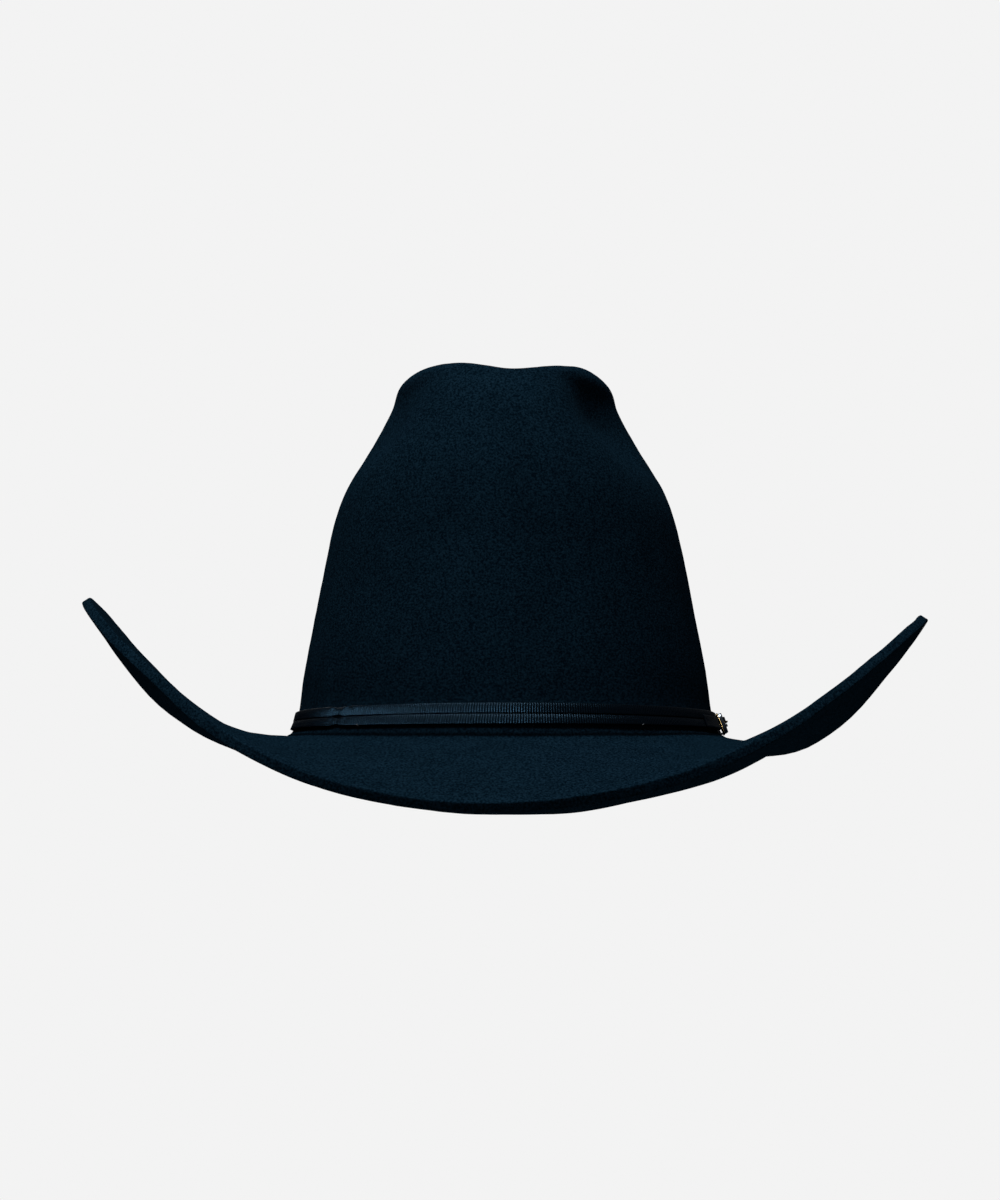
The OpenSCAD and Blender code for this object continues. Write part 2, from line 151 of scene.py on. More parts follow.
def outside(t, v):
    """The outside of the felt at plan angle t from the front and place v, in mm."""
    t, v = np.broadcast_arrays(np.asarray(t, float), np.asarray(v, float))
    r = ring(v)
    s, c = np.sin(np.radians(t)), np.cos(np.radians(t))
    front = c > 0
    x, y = r[..., 0] * s, -np.where(front, r[..., 1], r[..., 2]) * c
    w = 1 - step(0, 8, v)
    low = np.where(front, r[..., 4], r[..., 5])
    q = (s * s) ** (1 + np.where(front, 0, 0.5) * w)
    z = (low + (r[..., 3] - low) * q
         - w * np.sign(s) * np.abs(s) ** 3 * (3.5 + np.where(front, 3, 10) * c)
         + w * s ** 6 * np.abs(c) * np.where(front, 13, -10)
         - w * 1.3 * np.maximum(0, c) * step(0, .35, np.abs(s)) * bell(np.abs(s) - 0.5, 0.25)
         + w * np.maximum(0, -c) * step(0, .35, np.abs(s)) * (
             BACK_LIFT[0] * bell(s + 0.4, 0.3) + BACK_LIFT[1] * bell(s - 0.4, 0.22)
             + BACK_LIFT[2] * bell(s - 0.9, 0.12))
         + w * np.maximum(0, c) * (FRONT_RISE[0] * bell(s + 0.74, 0.1)
                                   + FRONT_RISE[1] * bell(s - 0.8, 0.2))
         + np.maximum(0, s) ** 4 * (SWELL[0] * bell(v - 4.7, 1.2) + SWELL[1] * bell(v - 2.2, 1)))
    z = z - CREASE * bell(x - 3, 12.5) * step(13.5, 18, v) * np.where(
        y < 0, 1 - 0.92 * step(20, 66, -y), 1 - 0.9 * step(15, 62, y))
    dent = (DENT * np.where(x > 0, 1, .55) * bell(y + 36, 30) * bell(z - 120, 18) * step(10.5, 12.5, v)
            * (1 - step(19, 21, v)) * np.minimum(1, np.abs(x) / 20))
    return np.stack([x - np.sign(s) * dent, y, z], -1)


def unit(a):
    return a / np.maximum(np.linalg.norm(a, axis=-1, keepdims=True), 1e-12)


def raw(t, v, o=0.0):
    t, v, o = np.broadcast_arrays(np.asarray(t, float), np.asarray(v, float), np.asarray(o, float))
    along = outside(t + EPS_T, v) - outside(t - EPS_T, v)
    up = outside(t, np.minimum(v + EPS_V, LAST)) - outside(t, np.maximum(v - EPS_V, 0))
    return outside(t, v) + o[..., None] * unit(np.cross(along, up))


SIDES = (np.arange(64) + 0.5) * 360 / 64
edge_low, edge_top = raw(SIDES, 0, -FELT), raw(SIDES, 0, 0)
both = np.concatenate([edge_low, edge_top])
HOME = np.array([-(both[:, 0].min() + both[:, 0].max()) / 2,
                 -(both[:, 1].min() + both[:, 1].max()) / 2, -edge_low[:, 2].min()])


def wall(t, v, o=0.0):
    """A place on the hat in metres, o mm off the outside of the felt."""
    return (raw(t, v, o) + HOME) * MM


def on_wall(t, v):
    """A frame on the crown wall: x straight out, y along the band, z up the wall."""
    p = wall(t, v)
    n = unit(wall(t, v, 1) - p)
    along = wall(t + EPS_T, v) - wall(t - EPS_T, v)
    y = unit(along - (along @ n) * n)
    z = np.cross(n, y)
    return Matrix([[n[k], y[k], z[k], p[k]] for k in range(3)] + [[0, 0, 0, 1]])


# ---------------------------------------------------------------- mesh helpers


def piece(name, points, faces, mat, body="root", slot=None, stands_for=()):
    """One named mesh that rides on a body and may stand for CAD nodes."""
    mesh = bpy.data.meshes.new(name)
    mesh.from_pydata([tuple(p) for p in points], [], faces)
    mesh.validate()
    mesh.update()
    mesh.polygons.foreach_set("use_smooth", [True] * len(mesh.polygons))
    obj = bpy.data.objects.new("hat_" + name, mesh)
    scene.collection.objects.link(obj)
    mesh.materials.append(mat)
    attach(obj, body)
    if stands_for:
        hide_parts(*stands_for)
    return obj


def shade(obj, values):
    """Marks painted shade on the cloth, from 0 to 1 at each point, for its material to darken by."""
    field = obj.data.attributes.new("painted_shade", "FLOAT", "POINT")
    field.data.foreach_set("value", np.asarray(values, float).ravel())


def grid_faces(rows, cols, wrap_rows, wrap_cols):
    r = np.arange(rows if wrap_rows else rows - 1)
    c = np.arange(cols if wrap_cols else cols - 1)
    R, C = np.meshgrid(r, c, indexing="ij")
    R2, C2 = (R + 1) % rows, (C + 1) % cols
    quads = np.stack([R * cols + C, R * cols + C2, R2 * cols + C2, R2 * cols + C], -1)
    return quads.reshape(-1, 4).tolist()


def loop_piece(name, section, ts, mat, **more):
    """A closed section [(v, offset), ...] carried all round the hat at the angles ts."""
    pts = np.concatenate([wall(ts, v, o) for v, o in section])
    return piece(name, pts, grid_faces(len(section), len(ts), True, True), mat, **more)


def even_angles(v, count):
    """Angles that share out the way round the hat at place v evenly, and that way in metres."""
    t = np.linspace(0, 360, 2881)
    p = wall(t, v)
    way = np.concatenate([[0], np.cumsum(np.linalg.norm(np.diff(p, axis=0), axis=1))])
    return np.interp(np.arange(count) * way[-1] / count, way, t), way[-1]


def relief(p, wave, seed, terms=14):
    """Gentle unevenness between about -1 and 1, the same every time."""
    rng = np.random.default_rng(seed)
    total = np.zeros(p.shape[:-1])
    for _ in range(terms):
        k = unit(rng.normal(size=3)) * 2 * math.pi / (wave * MM * rng.uniform(0.7, 1.5))
        total += np.sin(p @ k + rng.uniform(0, 2 * math.pi))
    return total / math.sqrt(terms * 2)


# ---------------------------------------------------------------- materials


def material(name, color, rough, **sockets):
    mat = bpy.data.materials.new(name)
    mat.use_nodes = True
    shader = mat.node_tree.nodes["Principled BSDF"]
    shader.inputs["Base Color"].default_value = (*color, 1)
    shader.inputs["Roughness"].default_value = rough
    for key, value in sockets.items():
        shader.inputs[key.replace("_", " ")].default_value = value
    return mat


def add(mat, kind, **settings):
    n = mat.node_tree.nodes.new(kind)
    for key, value in settings.items():
        if key in n.inputs:
            n.inputs[key].default_value = value
        else:
            setattr(n, key, value)
    return n


def noise(mat, scale, detail=3.0, stretch=(1, 1, 1)):
    place = add(mat, "ShaderNodeTexCoord")
    turn = add(mat, "ShaderNodeMapping", Scale=stretch)
    n = add(mat, "ShaderNodeTexNoise", Scale=scale, Detail=detail)
    mat.node_tree.links.new(place.outputs["Object"], turn.inputs["Vector"])
    mat.node_tree.links.new(turn.outputs["Vector"], n.inputs["Vector"])
    return n.outputs["Fac"]


def colours(mat, value, *stops):
    """Sends a value through a ramp of (place, colour) stops."""
    ramp = add(mat, "ShaderNodeValToRGB")
    while len(ramp.color_ramp.elements) < len(stops):
        ramp.color_ramp.elements.new(0.5)
    for e, (at, c) in zip(ramp.color_ramp.elements, stops):
        e.position, e.color = at, (*c, 1)
    mat.node_tree.links.new(value, ramp.inputs["Fac"])
    return ramp.outputs["Color"]


def multiply(mat, a, b):
    m = add(mat, "ShaderNodeMix", data_type="RGBA", blend_type="MULTIPLY")
    m.inputs[0].default_value = 1
    mat.node_tree.links.new(a, m.inputs[6])
    mat.node_tree.links.new(b, m.inputs[7])
    return m.outputs[2]


def bump(mat, value, strength, depth):
    b = add(mat, "ShaderNodeBump", Strength=strength, Distance=depth)
    mat.node_tree.links.new(value, b.inputs["Height"])
    mat.node_tree.links.new(b.outputs["Normal"],
                            mat.node_tree.nodes["Principled BSDF"].inputs["Normal"])


def paint(mat, colour, roughness=None):
    shader = mat.node_tree.nodes["Principled BSDF"]
    mat.node_tree.links.new(colour, shader.inputs["Base Color"])
    if roughness is not None:
        mat.node_tree.links.new(roughness, shader.inputs["Roughness"])


def between(mat, value, low, high):
    r = add(mat, "ShaderNodeMapRange")
    r.inputs["To Min"].default_value, r.inputs["To Max"].default_value = low, high
    mat.node_tree.links.new(value, r.inputs["Value"])
    return r.outputs["Result"]


def cloth(name, dark, light, grain, depth, rough=0.85, stretch=(1, 1, 1), **sockets):
    """A textile: fine fibre colour over broad mottling, darkened by the painted shade marked on its
    mesh, with its grain as bump.
    """
    mat = material(name, dark, rough, **sockets)
    fine, broad = noise(mat, grain, 5.0, stretch), noise(mat, 70, 2.0)
    # Painted shade: the mark stored by shade() darkens the fibre colour, to 0.8 at 0.55 and to 0.16 at
    # 1.
    painted_shade = add(mat, "ShaderNodeAttribute", attribute_name="painted_shade").outputs["Fac"]
    fibres = multiply(mat, colours(mat, fine, (.38, dark), (.64, light)),
                      colours(mat, painted_shade, (0, (1, 1, 1)), (.55, (.8,) * 3), (1, (.16,) * 3)))
    paint(mat, multiply(mat, fibres, colours(mat, broad, (.3, (.82,) * 3), (.7, (1, 1, 1)))),
          between(mat, fine, rough - 0.08, min(1.0, rough + 0.08)))
    bump(mat, fine, 0.6, depth)
    return mat


felt_mat = cloth("felt", (.0007, .0042, .0084), (.0052, .0165, .0282), 1300, .0004, .94,
                 (1, .5, 1), Specular_IOR_Level=0.0, Sheen_Weight=0.002, Sheen_Roughness=0.6,
                 Sheen_Tint=(.5, .8, 1.0, 1))
ribbon_mat = cloth("grosgrain", (.0002, .0009, .0021), (.0008, .0026, .0050), 3200, .00006, .3,
                   (1, 1, 6), Specular_IOR_Level=0.13, Specular_Tint=(.23, .61, 1.0, 1))
tape_mat = cloth("tape", (.006, .008, .011), (.014, .017, .022), 2600, .00008, .75,
                 Specular_IOR_Level=0.2)
thread_mat = cloth("thread", (.008, .009, .012), (.02, .022, .027), 4000, .00008, .6)
satin_mat = cloth("satin", (.035, .040, .055), (.06, .066, .085), 2400, .00004, .34,
                  (1, 1, 5), Specular_IOR_Level=0.5)
reed_mat = cloth("reed", (.30, .29, .27), (.42, .40, .37), 600, .00003, .35)
leather_mat = material("leather", (.20, .10, .05), .5, Specular_IOR_Level=0.4)
pores, tone = noise(leather_mat, 1100, 6.0), noise(leather_mat, 40, 3.0)
paint(leather_mat, multiply(leather_mat,
      colours(leather_mat, tone, (.3, (.16, .078, .038)), (.7, (.25, .13, .068))),
      colours(leather_mat, pores, (.38, (.6,) * 3), (.55, (1, 1, 1)))),
      between(leather_mat, pores, .42, .62))
bump(leather_mat, pores, .5, .00025)


def metal(name, dark, light, rough):
    mat = material(name, light, rough, Metallic=1.0)
    wear, dust = noise(mat, 900, 4.0), noise(mat, 160, 3.0)
    paint(mat, colours(mat, dust, (.35, dark), (.6, light)), between(mat, wear, rough * .6, rough * 1.6))
    bump(mat, wear, .15, .00003)
    return mat


silver_mat = metal("silver", (.10, .12, .15), (.36, .40, .46), .3)
gold_mat = metal("gold", (.48, .32, .12), (.86, .64, .32), .22)

# ---------------------------------------------------------------- felt

COLS = 384
around = (np.arange(COLS) + .5) * 360 / COLS
outer_v = np.concatenate([np.linspace(21.9, 18, 26), np.linspace(17.9, 10, 62),
                          np.linspace(9.9, 8, 22), np.linspace(7.88, .1, 58)])
EDGE = [(.05, -.04), (.025, -.13), (.008, -.3), (0, -.55), (0, -1.5), (0, -2.4), (0, -3.25),
        (.008, -3.5), (.025, -3.67), (.05, -3.76)]
inner_v = np.concatenate([np.linspace(.1, 7.8, 32), np.linspace(8, 10, 12),
                          np.linspace(10.3, 21.9, 36)])
rows = [(v, 0) for v in outer_v] + EDGE + [(v, -FELT) for v in inner_v]
pts = []
for v, o in rows:
    p = wall(around, v, o)
    free = (1 - step(7.6, 8.6, v)) if o < -1 else (1 - bell(v - 9.5, .9))
    pts.append(wall(around, v, o + free * (.16 * relief(p, 34, 3) + .05 * relief(p, 7, 4))))
tips = [wall(90, LAST) + np.array([0, 0, o * MM]) for o in (0, -FELT)]
n, m = COLS, len(rows)
faces = grid_faces(m, n, False, True)
faces += [[m * n, (i + 1) % n, i] for i in range(n)]
faces += [[m * n + 1, (m - 1) * n + i, (m - 1) * n + (i + 1) % n] for i in range(n)]
felt = piece("felt", np.concatenate(pts + [np.array(tips)]), faces, felt_mat, slot="felt",
             stands_for=["felt_body"])
# Painted shade: the felt is darker in the break, under the band and just above it.
band_painted_shade = [min(1, .95 * bell(v - 7.9, .55) + .5 * bell(v - 8.8, .6) + .3 * bell(v - 10.4, .9))
              if o == 0 else 0 for v, o in rows]
shade(felt, np.concatenate([np.repeat(band_painted_shade, COLS), [0, 0]]))

# ---------------------------------------------------------------- hatband

band_v = np.linspace(9, 10, 41)
band_step = np.linalg.norm(np.diff(wall(0, band_v), axis=0), axis=1)
band_way = np.concatenate([[0], np.cumsum(band_step)]) / MM      # height of each band_v in mm
RIBS = 608                       # ribs of the grosgrain, all round
PER_RIB = 6                      # points across one rib


def rib_profile(a):
    """The grosgrain's ribs, from -1 to 1, one rib for each half turn of a."""
    return 2 * abs(np.cos(a)) ** .8 - 1


rib_t, band_round = even_angles(9.5, RIBS * PER_RIB)
rib_wave = rib_profile(np.arange(RIBS * PER_RIB) * math.pi / PER_RIB)
PINCH_T = 314.0                  # where the pleats are drawn together, on the wearer's right


def fold(low, high, out):
    """Section of one ribbon pleat folded over along its top: (height, offset, on the face)."""
    t, inn = .26, .52
    top, mid, half = high, (out + inn) / 2, (out - inn) / 2
    bend = [(top - half + half * math.sin(a), mid + half * math.cos(a))
            for a in np.linspace(0, math.pi, 6)]
    skin = [(low, out), (low + .35, out + .03), (low + (top - low) * .5, out + .05)] + bend
    skin += [(low + .2, inn)]
    core = [(low + .2, inn + t * .55)] + [(h - .1, mid + (o - mid) * .35) for h, o in bend[::-1]]
    core += [(low + (top - low) * .5, out - t), (low, out - t)]
    return [(h, o, k <= 3) for k, (h, o) in enumerate(skin)] + [(h, o, False) for h, o in core]


def pleat(name, low, high, out, node):
    """A folded ribbon round the crown between two heights, drawn together at the pinch."""
    rows, rib_painted_shade = [], []
    middle = (low + high) / 2
    near = np.minimum(abs(rib_t - PINCH_T), 360 - abs(rib_t - PINCH_T))
    squeeze = np.exp(-(near / 1.7) ** 2)
    ripple = .14 * np.exp(-(near / 6) ** 2) * np.sin(near * 1.6)
    for h, o, face in fold(low, high, out):
        height = middle + (h - middle) * (1 - .34 * squeeze)
        off = .52 + (o - .52) * (1 - .4 * squeeze) + (ripple + .13 * rib_wave if face else 0)
        rows.append(wall(rib_t, np.interp(height, band_way, band_v), off))
        # Painted shade in the grooves between the ribs, on the ribbon's face.
        rib_painted_shade.append(.5 - .5 * rib_wave if face else 0 * rib_wave)
    obj = piece(name, np.concatenate(rows), grid_faces(len(rows), len(rib_t), True, True),
                ribbon_mat, slot="ribbon", stands_for=[node])
    shade(obj, np.concatenate(rib_painted_shade))


pleat("hatband_lower", 0.1, 4.15, 1.15, "hatband_lower_pleat")
pleat("hatband_upper", 4.3, 8.43, 1.25, "hatband_upper_pleat")
backing_t = (np.arange(720) + .5) / 2
loop_piece("hatband_backing", [(9.08, .45), (9.3, .46), (9.6, .46), (9.96, .45), (9.96, .1),
           (9.6, .1), (9.3, .1), (9.08, .1)], backing_t, ribbon_mat, slot="ribbon",
           stands_for=["hatband_backing"])

# ---------------------------------------------------------------- inside of the crown

sweat_v = np.linspace(9.1, 12.35, 30)
sweat_t = (np.arange(540) + .5) / 1.5


def tooled(v):
    """Depth of the two lines pressed into the leather."""
    return .12 * bell(v - 12.12, .05) + .1 * bell(v - 9.5, .04)


section = [(v, -4.42) for v in sweat_v] + [(12.37, -4.6), (12.38, -4.85), (12.37, -5.1)]
section += [(v, -5.3 + tooled(v)) for v in sweat_v[::-1]] + [(9.07, -5.1), (9.06, -4.85), (9.07, -4.6)]
loop_piece("sweatband", section, sweat_t, leather_mat, slot="leather", stands_for=["sweatband"])


def ring_tube(name, v, o, radius, sides, count, mat, **more):
    """A round cord that runs all round the hat at place v, o mm off the felt's outside."""
    p = wall((np.arange(count) + .5) * 360 / count, v, o)
    d = unit(np.roll(p, -1, 0) - np.roll(p, 1, 0))
    a = unit(np.cross(d, [0, 0, 1.0]))
    b = np.cross(d, a)
    ang = np.arange(sides) * 2 * math.pi / sides
    pts = np.concatenate([p + radius * MM * (math.cos(k) * a + math.sin(k) * b) for k in ang])
    return piece(name, pts, grid_faces(sides, count, True, True), mat, **more)


ring_tube("reed", 8.85, -5.6, .9, 16, 540, reed_mat, slot="reed", stands_for=["sweatband_reed"])
loop_piece("reed_tape", [(8.65, -3.95), (8.9, -3.95), (9.45, -3.95), (9.45, -4.25),
           (8.9, -4.25), (8.65, -4.25)], sweat_t, tape_mat, slot="tape", stands_for=["reed_tape"])


def joined(name, parts, mat, **more):
    """Several closed meshes as one piece."""
    pts, faces, start = [], [], 0
    for p, f in parts:
        pts.append(np.asarray(p))
        faces += [[i + start for i in q] for q in f]
        start += len(p)
    return piece(name, np.concatenate(pts), faces, mat, **more)


def strand(path, radii, sides=8):
    """A round strand along a path in metres with its radius at each point, closed at its ends."""
    p = np.asarray(path, float)
    d = unit(np.gradient(p, axis=0))
    a = unit(np.cross(d, [.02, .01, 1.0]))
    b = np.cross(d, a)
    ang = np.arange(sides) * 2 * math.pi / sides
    pts = np.concatenate([p + radii[:, None] * (math.cos(k) * a + math.sin(k) * b) for k in ang])
    n = len(p)
    faces = grid_faces(sides, n, True, False)
    return pts, faces + [[k * n for k in range(sides)], [k * n + n - 1 for k in range(sides)][::-1]]


STITCHES = 184
bulge = np.array([.35, .8, 1, 1, 1, .8, .35]) * .24 * MM      # a stitch's radius along it
stitch_t, _ = even_angles(9.3, STITCHES)
joined("sweatband_stitches", [strand(wall(np.linspace(t, t + 1.15, 7), 9.3,
       -5.5 - .22 * np.sin(np.linspace(0, math.pi, 7))), bulge) for t in stitch_t],
       thread_mat, slot="thread", stands_for=["sweatband_stitches"])
joined("hatband_tacks", [strand([wall(t, 8.98, .2), wall(t, 9.0, .9), wall(t + .15, 9.03, 1.6),
       wall(t + .3, 9.0, 1.0), wall(t + .4, 8.97, .25)], np.full(5, .2 * MM))
       for t in (38, 142, 218, 322)], thread_mat, slot="thread", stands_for=["hatband_tacks"])

lining_t = (np.arange(900) + .5) * .4
gather = np.sin(np.radians(lining_t) * 96 + 1.4 * np.sin(np.radians(lining_t) * 11))


def lining(name, vs, o, amp, dome, node):
    """A satin layer between the places vs, gathered by amp mm, open or closed at the top."""
    rows = []
    for side in (0, -.22):
        part = [wall(lining_t, v, o + side - amp(v) * (.5 + .5 * gather)) for v in vs]
        rows.append(part if side == 0 else part[::-1])
    all_rows = rows[0] + rows[1]
    n, m = len(lining_t), len(all_rows)
    if not dome:
        faces, extra = grid_faces(m, n, True, True), []
    else:
        half = len(vs)
        faces = grid_faces(half, n, False, True)
        faces += [[x + half * n for x in q] for q in grid_faces(half, n, False, True)]
        faces += [[i, (i + 1) % n, (m - 1) * n + (i + 1) % n, (m - 1) * n + i] for i in range(n)]
        faces += [[m * n, (half - 1) * n + i, (half - 1) * n + (i + 1) % n] for i in range(n)]
        faces += [[m * n + 1, half * n + i, half * n + (i + 1) % n] for i in range(n)]
        tip = wall(90, LAST)
        extra = [np.array([tip + [0, 0, o * MM], tip + [0, 0, (o - .22) * MM]])]
    obj = piece(name, np.concatenate(all_rows + extra), faces, satin_mat, slot="satin",
                stands_for=[node])


lining("lining_side", np.linspace(11.4, 14.5, 26), -4.1,
       lambda v: .55 * step(11.4, 12.2, v), False, "lining_side")
lining("lining_tip", np.linspace(14.7, 21.7, 40), -4.75,
       lambda v: .5 * (1 - step(14.7, 17, v)), True, "lining_tip")
ring_tube("lining_piping", 14.6, -4.95, .45, 10, 540, satin_mat, slot="satin",
          stands_for=["lining_piping"])

# ---------------------------------------------------------------- buckle set

STRAP_MID, STRAP_V = 9.38, (9.0, 9.76)
STRAP_THICK = .45
SLOT_V = .112                    # half height of the prong's slot, as a share of the band
SLOT_Y = (-3.6, 8.4)             # ends of the slot, from the middle of the frame
BAR_O, BAR_Y = 2.9, 6.5          # the bar, off the felt and behind the middle of the frame
BUCKLE_T, KEEPER_T, TIP_T = 87.5, 96, 101.5
MM_PER_DEG = 1.545               # along the band, near the buckle
buckle_at, keeper_at, tip_at = (on_wall(t, STRAP_MID) for t in (BUCKLE_T, KEEPER_T, TIP_T))


def placed(at, pts):
    """Points in millimetres in the frame at, as points in metres."""
    m = np.array(at)
    return np.asarray(pts, float) * MM @ m[:3, :3].T + m[:3, 3]


def plate(front, back, solid=None):
    """A closed sheet between two grids of points, with holes where solid is false."""
    rows, cols = front.shape[:2]
    if solid is None:
        solid = np.ones((rows - 1, cols - 1), bool)
    pts = np.concatenate([front.reshape(-1, 3), back.reshape(-1, 3)])
    top = np.arange(rows * cols).reshape(rows, cols)
    low = top + rows * cols
    faces = []
    for i, j in np.argwhere(solid):
        faces.append([top[i, j], top[i, j + 1], top[i + 1, j + 1], top[i + 1, j]])
        faces.append([low[i, j], low[i + 1, j], low[i + 1, j + 1], low[i, j + 1]])
        for r, c, e, f in ((i - 1, j, (i, j), (i, j + 1)), (i, j + 1, (i, j + 1), (i + 1, j + 1)),
                           (i + 1, j, (i + 1, j + 1), (i + 1, j)), (i, j - 1, (i + 1, j), (i, j))):
            if not (0 <= r < rows - 1 and 0 <= c < cols - 1 and solid[r, c]):
                faces.append([top[f], top[e], low[e], low[f]])
    used, faces = np.unique(np.array(faces), return_inverse=True)
    return pts[used], faces.reshape(-1, 4).tolist()


def crisp(obj, degrees=40):
    obj.data.set_sharp_from_angle(angle=math.radians(degrees))
    return obj


def rise(t):
    """Height of the strap's inner face off the felt."""
    return np.interp(t, [66, 85.3, 87.4, 90, 91.6, 93.2, 94, 106],
                     [1.4, 1.4, 2.9, 4.4, 4.4, 3.0, 2.75, 2.75])


def ribbon(ts, inner, thick, solid=None):
    """A strip of ribbed ribbon on the crown wall; inner gives its height off the felt."""
    low, top = STRAP_V
    vs = np.array([low, low + .012, low + .07, STRAP_MID - SLOT_V, STRAP_MID,
                   STRAP_MID + SLOT_V, top - .07, top - .012, top])
    selvage = np.array([.25, .9, 1, 1, 1, 1, 1, .9, .25])
    wave = .1 * rib_profile(ts * RIBS * math.pi / 360)
    front = np.stack([wall(ts, v, inner + thick * (.5 + .5 * k) + wave * k - .05)
                      for v, k in zip(vs, selvage)])
    back = np.stack([wall(ts, v, inner + thick * .5 * (1 - k)) for v, k in zip(vs, selvage)])
    return plate(front, back, None if solid is None else solid(vs, ts))


def prong_slot(vs, ts):
    """Which faces stay round the slot that the prong passes through."""
    m = np.array(buckle_at)
    y = ((wall(ts, STRAP_MID) - m[:3, 3]) @ m[:3, 1]) / MM
    inside = (y[:-1] > SLOT_Y[0]) & (y[1:] < SLOT_Y[1])
    between_rows = abs((vs[:-1] + vs[1:]) / 2 - STRAP_MID) < SLOT_V
    return ~(between_rows[:, None] & inside[None, :])


strap_t = np.arange(66, 104, 360 / RIBS / PER_RIB)
joined("strap", [ribbon(strap_t, rise(strap_t), STRAP_THICK, prong_slot)], ribbon_mat,
       slot="ribbon", stands_for=["strap"])

bound = []
for y in np.arange(-3.4, 7.9, .42):
    t = BUCKLE_T + y / MM_PER_DEG
    for side in (-1, 1):
        v = STRAP_MID + side * np.array([.139, .145, .175, .2])
        bound.append(strand(wall(t, v, rise(t) + np.array([.2, .47, .5, .38])),
                            np.array([.1, .13, .13, .08]) * MM, 6))
joined("strap_binding", bound, thread_mat, slot="thread")


def lathe(outline, centre, sides, waves=0, depth=0.0):
    """A ring round the z axis with a closed outline of (radius, z), its outer skin waved."""
    a = np.arange(sides) * 2 * math.pi / sides
    pts = np.concatenate([np.stack([
        centre[0] + (r + (depth * np.cos(waves * a) if r > 1 else 0)) * np.cos(a),
        centre[1] + (r + (depth * np.cos(waves * a) if r > 1 else 0)) * np.sin(a),
        np.full(sides, z)], -1) for r, z in outline])
    return pts, grid_faces(len(outline), sides, True, True)


def collar(outer, inner, z0, z1, b):
    """Outline of a ring from z0 to z1 with its four edges cut back by b."""
    return [(inner, z0 + b), (inner + b, z0), (outer - b, z0), (outer, z0 + b),
            (outer, z1 - b), (outer - b, z1), (inner + b, z1), (inner, z1 - b)]


parts = [ribbon(np.arange(92, 99, 360 / RIBS / PER_RIB), 2.15, STRAP_THICK)]
for z0 in (-2.9, 1.0):
    pts, faces = lathe(collar(1.05, .66, z0, z0 + 1.9, .12), (BAR_O, BAR_Y), 98, 7, .08)
    parts.append((placed(buckle_at, pts), faces))
joined("strap_anchor", parts, ribbon_mat, slot="ribbon", stands_for=["strap_anchor"])


def round_rect(h1, h2, r, per=7, middle=(0.0, 0.0)):
    """Points round a rectangle with half sizes h1 and h2 and rounded corners."""
    out = []
    for k, (sx, sy) in enumerate(((1, 1), (-1, 1), (-1, -1), (1, -1))):
        for a in np.linspace(0, math.pi / 2, per):
            out.append((middle[0] + sx * (h1 - r) + r * math.cos(a + k * math.pi / 2),
                        middle[1] + sy * (h2 - r) + r * math.sin(a + k * math.pi / 2)))
    return np.array(out)


def along(path, step_mm):
    """The same path with points evenly step_mm apart."""
    way = np.concatenate([[0], np.cumsum(np.linalg.norm(np.diff(path, axis=0), axis=1))])
    at = np.linspace(0, way[-1], max(4, int(way[-1] / step_mm)))
    return np.stack([np.interp(at, way, path[:, k]) for k in range(path.shape[1])], -1)


def rope(path, at, radius, pitch=.75, strands=2, step_mm=.12):
    """A twisted cord along a path in millimetres."""
    p = along(np.asarray(path, float), step_mm)
    d = unit(np.gradient(p, axis=0))
    a = unit(np.cross(d, [1.0, .013, .017]))
    b = np.cross(d, a)
    turn = np.arange(len(p)) * step_mm / pitch * math.pi
    parts = []
    for k in range(strands):
        w = turn + 2 * math.pi * k / strands
        q = p + radius * .5 * (np.cos(w)[:, None] * a + np.sin(w)[:, None] * b)
        parts.append(strand(placed(at, q), np.full(len(q), radius * .55 * MM), 6))
    return parts


def scroll(at, middle, size, turn, lift):
    """A small engraved leaf scroll that stands proud of the metal: x is the height."""
    a = np.linspace(.4, 3.6 * math.pi, 40)
    r = size * (1 - a / (4.1 * math.pi)) ** 1.1
    p = np.stack([np.full(len(a), lift), middle[0] + r * np.cos(a * turn),
                  middle[1] + r * np.sin(a * turn)], -1)
    return strand(placed(at, p), np.linspace(.1, .05, len(a)) * MM, 5)


# The frame: a C round the prong, open at the back, where its legs hold the bar.
def c_path(y0, y1, z, r, per=12):
    def corner(side, turns):
        return [(y0 + r - r * math.cos(a), side * (z - r + r * math.sin(a))) for a in turns]

    legs = [(y, z) for y in np.linspace(y1, y0 + r + .3, 16)]
    front = [(y0, q) for q in np.linspace(z - r - .2, -(z - r - .2), 12)]
    return np.array(legs + corner(1, np.linspace(math.pi / 2, 0, per)) + front
                    + corner(-1, np.linspace(0, math.pi / 2, per)) + [(y, -q) for y, q in legs[::-1]])


rim, window = c_path(-6.5, 7.5, 4.1, 2.0), c_path(-4.5, 7.5, 3.1, .6)
section = [(0, 2.1), (0, 3.35), (.1, 3.7), (.24, 3.84), (.3, 3.72), (.5, 3.82), (.7, 3.72),
           (.76, 3.84), (.9, 3.7), (1, 3.35), (1, 2.15), (.88, 1.95), (.12, 1.95)]
pts = np.concatenate([np.column_stack([np.full(len(rim), x), window + (rim - window) * k])
                      for k, x in section])
n, m = len(rim), len(section)
faces = grid_faces(m, n, True, False)
faces += [[k * n for k in range(m)], [k * n + n - 1 for k in range(m)][::-1]]
crisp(joined("buckle_frame", [(placed(buckle_at, pts), faces)], silver_mat, slot="silver",
             stands_for=["buckle_frame"]))
mid = (rim + window) / 2
joined("buckle_scrolls", [scroll(buckle_at, mid[k], .42, (-1) ** i, 3.82)
       for i, k in enumerate(range(3, len(mid) - 3, 4))], silver_mat, slot="silver")
edge = np.column_stack([np.full(len(rim), 2.2), window + (rim - window) * 1.04])
joined("buckle_rope", rope(edge, buckle_at, .36), gold_mat, slot="gold")


FRAME_IN, FRAME_T = 1.95, 2.0    # the frame's inner face off the felt, and its thickness
PRONG_R, PRONG_GAP = .55, .3     # half the prong's thickness and its gap over the frame
PRONG_REACH = 11.0               # from the bar to the frame's front leg


